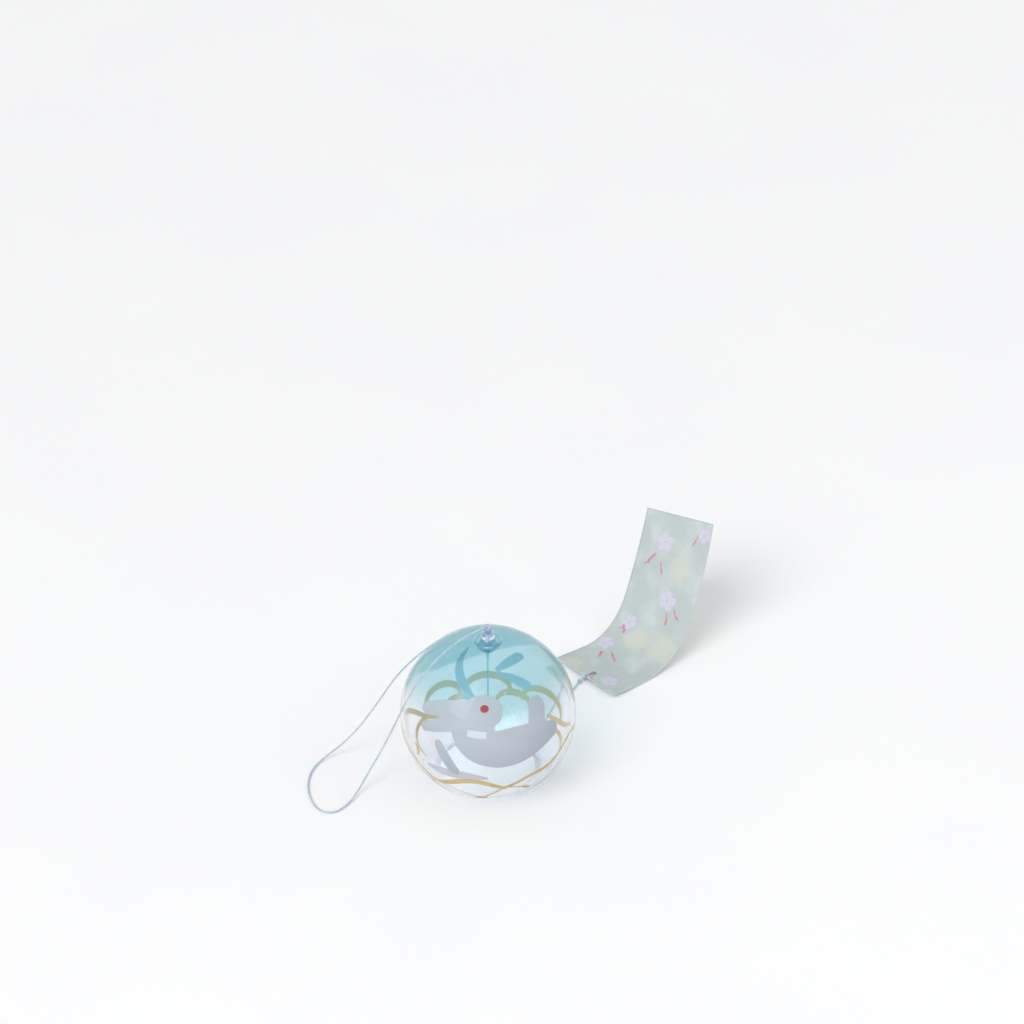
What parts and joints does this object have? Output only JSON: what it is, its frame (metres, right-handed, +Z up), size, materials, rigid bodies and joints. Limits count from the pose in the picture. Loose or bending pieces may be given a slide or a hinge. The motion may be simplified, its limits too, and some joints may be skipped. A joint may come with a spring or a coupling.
{
  "type": "glass wind bell",
  "caption": "Blown glass wind bell standing on its mouth, with a bead, a long hanging loop, a glass tube clapper and a tail thread to a curled paper strip.",
  "frame": {"origin": "centre of the bell's mouth, in the plane that it stands on", "axes": "+Z up along the bell's axis to the crown, the hanging loop laid out to -X, the paper strip away to +X and +Y"},
  "size_m": [0.1883, 0.1748, 0.0797],
  "materials": {
    "bell_glass": "clear gloss",
    "clear_glass": "clear gloss",
    "blue_glass": "gloss",
    "thread": "twisted thread",
    "paper": "matt printed paper"
  },
  "bodies": {
    "bell": {"glass_bell": "bell_glass", "crown_bead": "clear_glass", "inner_bead": "blue_glass", "crown_knot": "thread", "hanging_loop": "thread", "stop_knot": "thread", "tail_cord": "thread"},
    "hanger": {"swing_knot": "thread"},
    "clapper": {"clapper_thread": "thread", "end_knot": "thread", "tail_lead": "thread"},
    "tube": {"clapper_tube": "clear_glass"},
    "tie": {"strip_knot": "thread"},
    "strip": {"strip_tie": "thread", "paper_strip": "paper"}
  },
  "joints": [
    {"name": "clapper_turn", "type": "hinge", "parent": "bell", "child": "hanger", "pos_m": [0, 0, 0.06231], "axis": [0, 0, 1], "continuous": true},
    {"name": "clapper_swing", "type": "hinge", "parent": "hanger", "child": "clapper", "pos_m": [0, 0, 0.06231], "axis": [0, 1, 0], "range_deg": [-45, 45], "deforming": ["tail_lead"]},
    {"name": "tube_slide", "type": "slide", "parent": "clapper", "child": "tube", "axis": [0, 0, 1], "range_m": [0, 0.022]},
    {"name": "strip_swivel", "type": "hinge", "parent": "bell", "child": "tie", "pos_m": [0.04283, 0.06587, 0.0012], "axis": [0, 0, 1], "range_deg": [-45, 45]},
    {"name": "strip_lift", "type": "hinge", "parent": "tie", "child": "strip", "pos_m": [0.04283, 0.06587, 0.0012], "axis": [0.6561, -0.7547, 0], "range_deg": [0, 70]}
  ]
}
